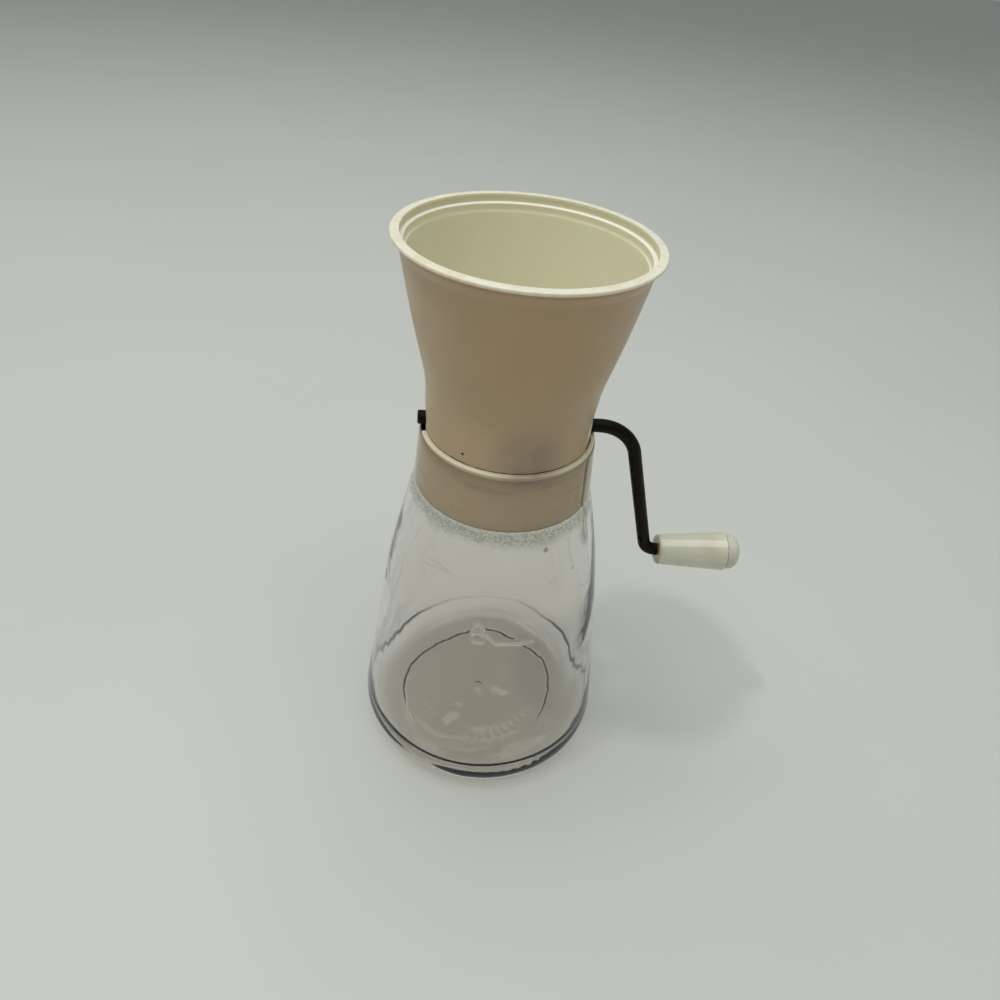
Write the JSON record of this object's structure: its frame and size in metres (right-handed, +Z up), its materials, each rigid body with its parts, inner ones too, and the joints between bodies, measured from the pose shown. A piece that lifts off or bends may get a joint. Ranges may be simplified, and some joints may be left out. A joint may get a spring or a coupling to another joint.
{
  "type": "manual grinder",
  "caption": "Hand-cranked kitchen grinder: a flared plastic hopper with a bent wire crank and tapered handle, standing in the neck of a glass catch jar.",
  "frame": {"origin": "centre of the jar's foot ring, on the surface that the grinder stands on", "axes": "+Z up along the jar's axis, +X along the crank's shaft towards the handle, +Y to the side of the coarse comb"},
  "size_m": [0.1237, 0.084, 0.1773],
  "materials": {
    "jar_glass": "clear pressed glass with a faint green tint",
    "ivory_plastic": "aged ivory, satin gloss",
    "bare_steel": "stamped, dull",
    "dark_wire": "darkened and slightly rusty",
    "white_plastic": "glossy white",
    "cap_plastic": "glossy, slightly cooler white"
  },
  "bodies": {
    "jar": {"glass_jar": "jar_glass"},
    "head": {"hopper": "ivory_plastic", "grinder_ring": "ivory_plastic", "coarse_comb": "bare_steel", "fine_comb": "bare_steel", "comb_rivets": "bare_steel"},
    "rotor": {"crank": "dark_wire", "blade_1": "bare_steel", "blade_2": "bare_steel", "blade_3": "bare_steel", "blade_4": "bare_steel", "blade_5": "bare_steel", "blade_6": "bare_steel", "blade_7": "bare_steel", "blade_8": "bare_steel", "retaining_ring_left": "bare_steel", "retaining_ring_right": "bare_steel", "push_nut": "bare_steel"},
    "handle": {"handle_grip": "white_plastic", "handle_cap": "cap_plastic"}
  },
  "joints": [
    {"name": "head_lift", "type": "slide", "parent": "jar", "child": "head", "axis": [0, 0, 1], "range_m": [0, 0.04]},
    {"name": "crank_spin", "type": "hinge", "parent": "head", "child": "rotor", "pos_m": [0, 0, 0.1238], "axis": [1, 0, 0], "continuous": true},
    {"name": "grip_spin", "type": "hinge", "parent": "rotor", "child": "handle", "pos_m": [0.065, 0, 0.0765], "axis": [1, 0, 0], "continuous": true}
  ]
}
